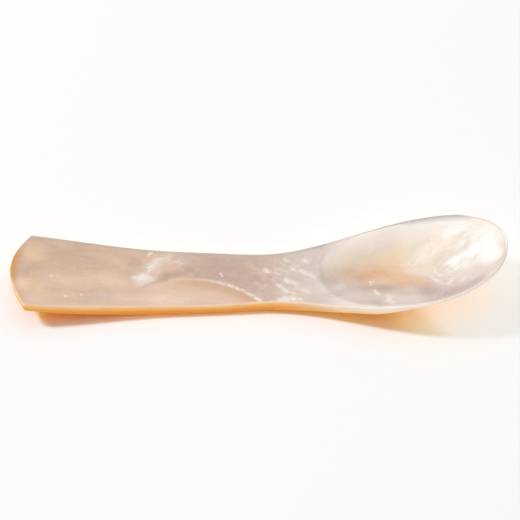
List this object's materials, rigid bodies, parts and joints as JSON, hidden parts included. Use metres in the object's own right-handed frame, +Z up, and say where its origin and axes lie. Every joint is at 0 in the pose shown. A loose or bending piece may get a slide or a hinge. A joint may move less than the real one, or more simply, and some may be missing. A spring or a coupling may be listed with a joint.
{
  "type": "caviar spoon",
  "caption": "Flat-handled caviar spoon of polished mother-of-pearl, pale nacre over a golden layer, with an oval bowl and a flared handle.",
  "frame": {"origin": "on the table plane, below the middle of the spoon's length and width, on the flat of the underside", "axes": "+X along the spoon from the handle to the bowl's tip, +Y across it, +Z up from the table"},
  "size_m": [0.099, 0.023, 0.0125],
  "materials": {
    "pearl": "polished nacre",
    "gold": "polished golden shell"
  },
  "bodies": {
    "root": {"pearl_layer": "pearl", "golden_layer": "gold"}
  },
  "joints": []
}
